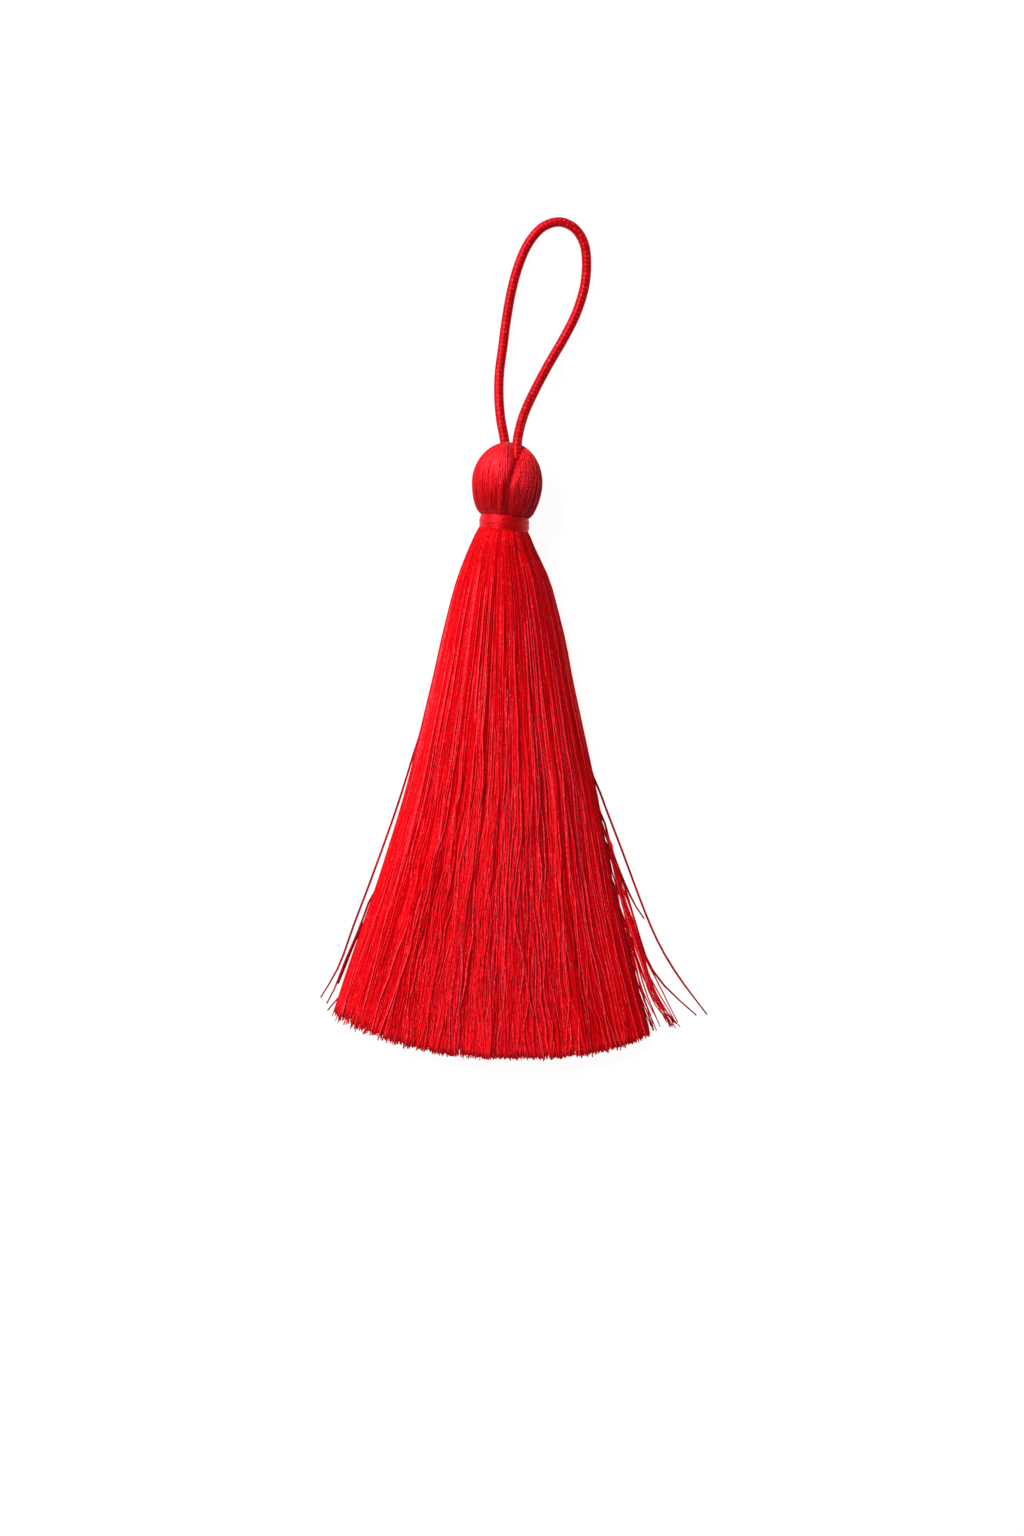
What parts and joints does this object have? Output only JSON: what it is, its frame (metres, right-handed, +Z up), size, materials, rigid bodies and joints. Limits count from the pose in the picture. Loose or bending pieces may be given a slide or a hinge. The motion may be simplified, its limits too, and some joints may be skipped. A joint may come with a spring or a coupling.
{
  "type": "silk tassel",
  "caption": "Silk tassel lying on its back: a skein folded into a ball-shaped head, bound at the neck above a fanned skirt of loose threads, with a hanging loop of satin cord.",
  "frame": {"origin": "middle of the small flat spot that the head rests on, straight below the head's centre", "axes": "+Y along the tassel from the skirt's cut ends towards the loop, +Z up from the surface it lies on, +X to the right of a viewer who looks down on its front with the loop at the top"},
  "size_m": [0.0507, 0.1089, 0.0087],
  "materials": {
    "silk": "bright red silk thread with a soft lengthwise sheen",
    "binding_silk": "glossy red silk thread wound in close turns",
    "cord_satin": "red satin cord with a fine twill lay"
  },
  "bodies": {
    "root": {"silk_skein": "silk", "neck_binding": "binding_silk", "hanging_loop": "cord_satin"}
  },
  "joints": []
}
